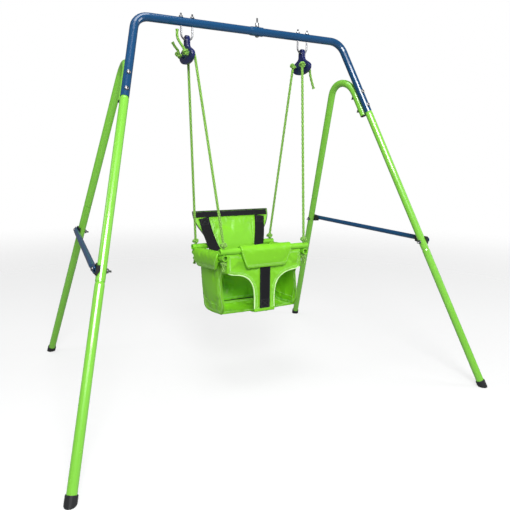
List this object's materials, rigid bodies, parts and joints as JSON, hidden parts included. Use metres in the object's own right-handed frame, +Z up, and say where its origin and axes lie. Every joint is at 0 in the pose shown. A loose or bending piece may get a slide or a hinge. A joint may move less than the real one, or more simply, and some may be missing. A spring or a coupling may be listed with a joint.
{
  "type": "baby swing",
  "caption": "Toddler bucket seat with backrest and harness, hung on ropes from a bolted tubular A-frame stand with side braces.",
  "frame": {"origin": "on the floor, at the middle of the stand's footprint", "axes": "+X along the crossbar to the right seen from the front, -Y the way the child faces, +Z up"},
  "size_m": [1.4214, 1.0828, 1.2317],
  "materials": {
    "bar_blue": "glossy powder coat",
    "leg_green": "glossy powder coat",
    "steel": "zinc plated",
    "black_plastic": "moulded, satin",
    "hanger_navy": "moulded, smooth",
    "rope_lime": "braided",
    "seat_bar_green": "satin",
    "seat_vinyl": "coated cloth with piping and stitched hems",
    "webbing_black": "woven webbing",
    "buckle_black": "moulded, satin",
    "button_grey": "moulded, satin"
  },
  "bodies": {
    "stand": {"brace_bolt_front_left": "steel", "brace_bolt_front_right": "steel", "brace_bolt_rear_left": "steel", "brace_bolt_rear_right": "steel", "brace_saddle_front_left": "black_plastic", "brace_saddle_front_right": "black_plastic", "brace_saddle_rear_left": "black_plastic", "brace_saddle_rear_right": "black_plastic", "crossbar_bolt": "steel", "crossbar_left": "bar_blue", "crossbar_right": "bar_blue", "foot_front_left": "black_plastic", "foot_front_right": "black_plastic", "foot_rear_left": "black_plastic", "foot_rear_right": "black_plastic", "front_leg_lower_left": "leg_green", "front_leg_lower_right": "leg_green", "front_leg_upper_left": "leg_green", "front_leg_upper_right": "leg_green", "hook_plug_left": "black_plastic", "hook_plug_right": "black_plastic", "leg_bolt_lower_left": "steel", "leg_bolt_lower_right": "steel", "leg_bolt_upper_left": "steel", "leg_bolt_upper_right": "steel", "rear_leg_lower_left": "leg_green", "rear_leg_lower_right": "leg_green", "rear_leg_upper_left": "leg_green", "rear_leg_upper_right": "leg_green", "side_brace_left": "bar_blue", "side_brace_right": "bar_blue", "u_bolt_left": "steel", "u_bolt_right": "steel"},
    "swing": {"back_bar": "seat_bar_green", "back_panel": "seat_vinyl", "back_strap": "webbing_black", "buckle_socket": "buckle_black", "buckle_tab": "webbing_black", "buckle_tongue": "buckle_black", "crotch_strap": "webbing_black", "front_bar": "seat_bar_green", "front_pad": "seat_vinyl", "front_panel": "seat_vinyl", "hanger_left": "hanger_navy", "hanger_right": "hanger_navy", "rope_back_left": "rope_lime", "rope_back_right": "rope_lime", "rope_front_left": "rope_lime", "rope_front_right": "rope_lime", "seat_base": "seat_vinyl", "shoulder_strap_left": "webbing_black", "shoulder_strap_right": "webbing_black", "side_bar_left": "seat_bar_green", "side_bar_right": "seat_bar_green", "side_panel_left": "seat_vinyl", "side_panel_right": "seat_vinyl", "side_sleeve_left": "seat_vinyl", "side_sleeve_right": "seat_vinyl"},
    "button": {"buckle_button": "button_grey"}
  },
  "joints": [
    {"name": "swing", "type": "hinge", "parent": "stand", "child": "swing", "pos_m": [0, -0.0585, 1.137], "axis": [1, 0, 0], "range_deg": [-40, 40]},
    {"name": "button_press", "type": "slide", "parent": "swing", "child": "button", "axis": [0, -0.3697, -0.9292], "range_m": [0, 0.0015], "stiffness_N_per_m": 400, "springref_m": -0.001}
  ]
}
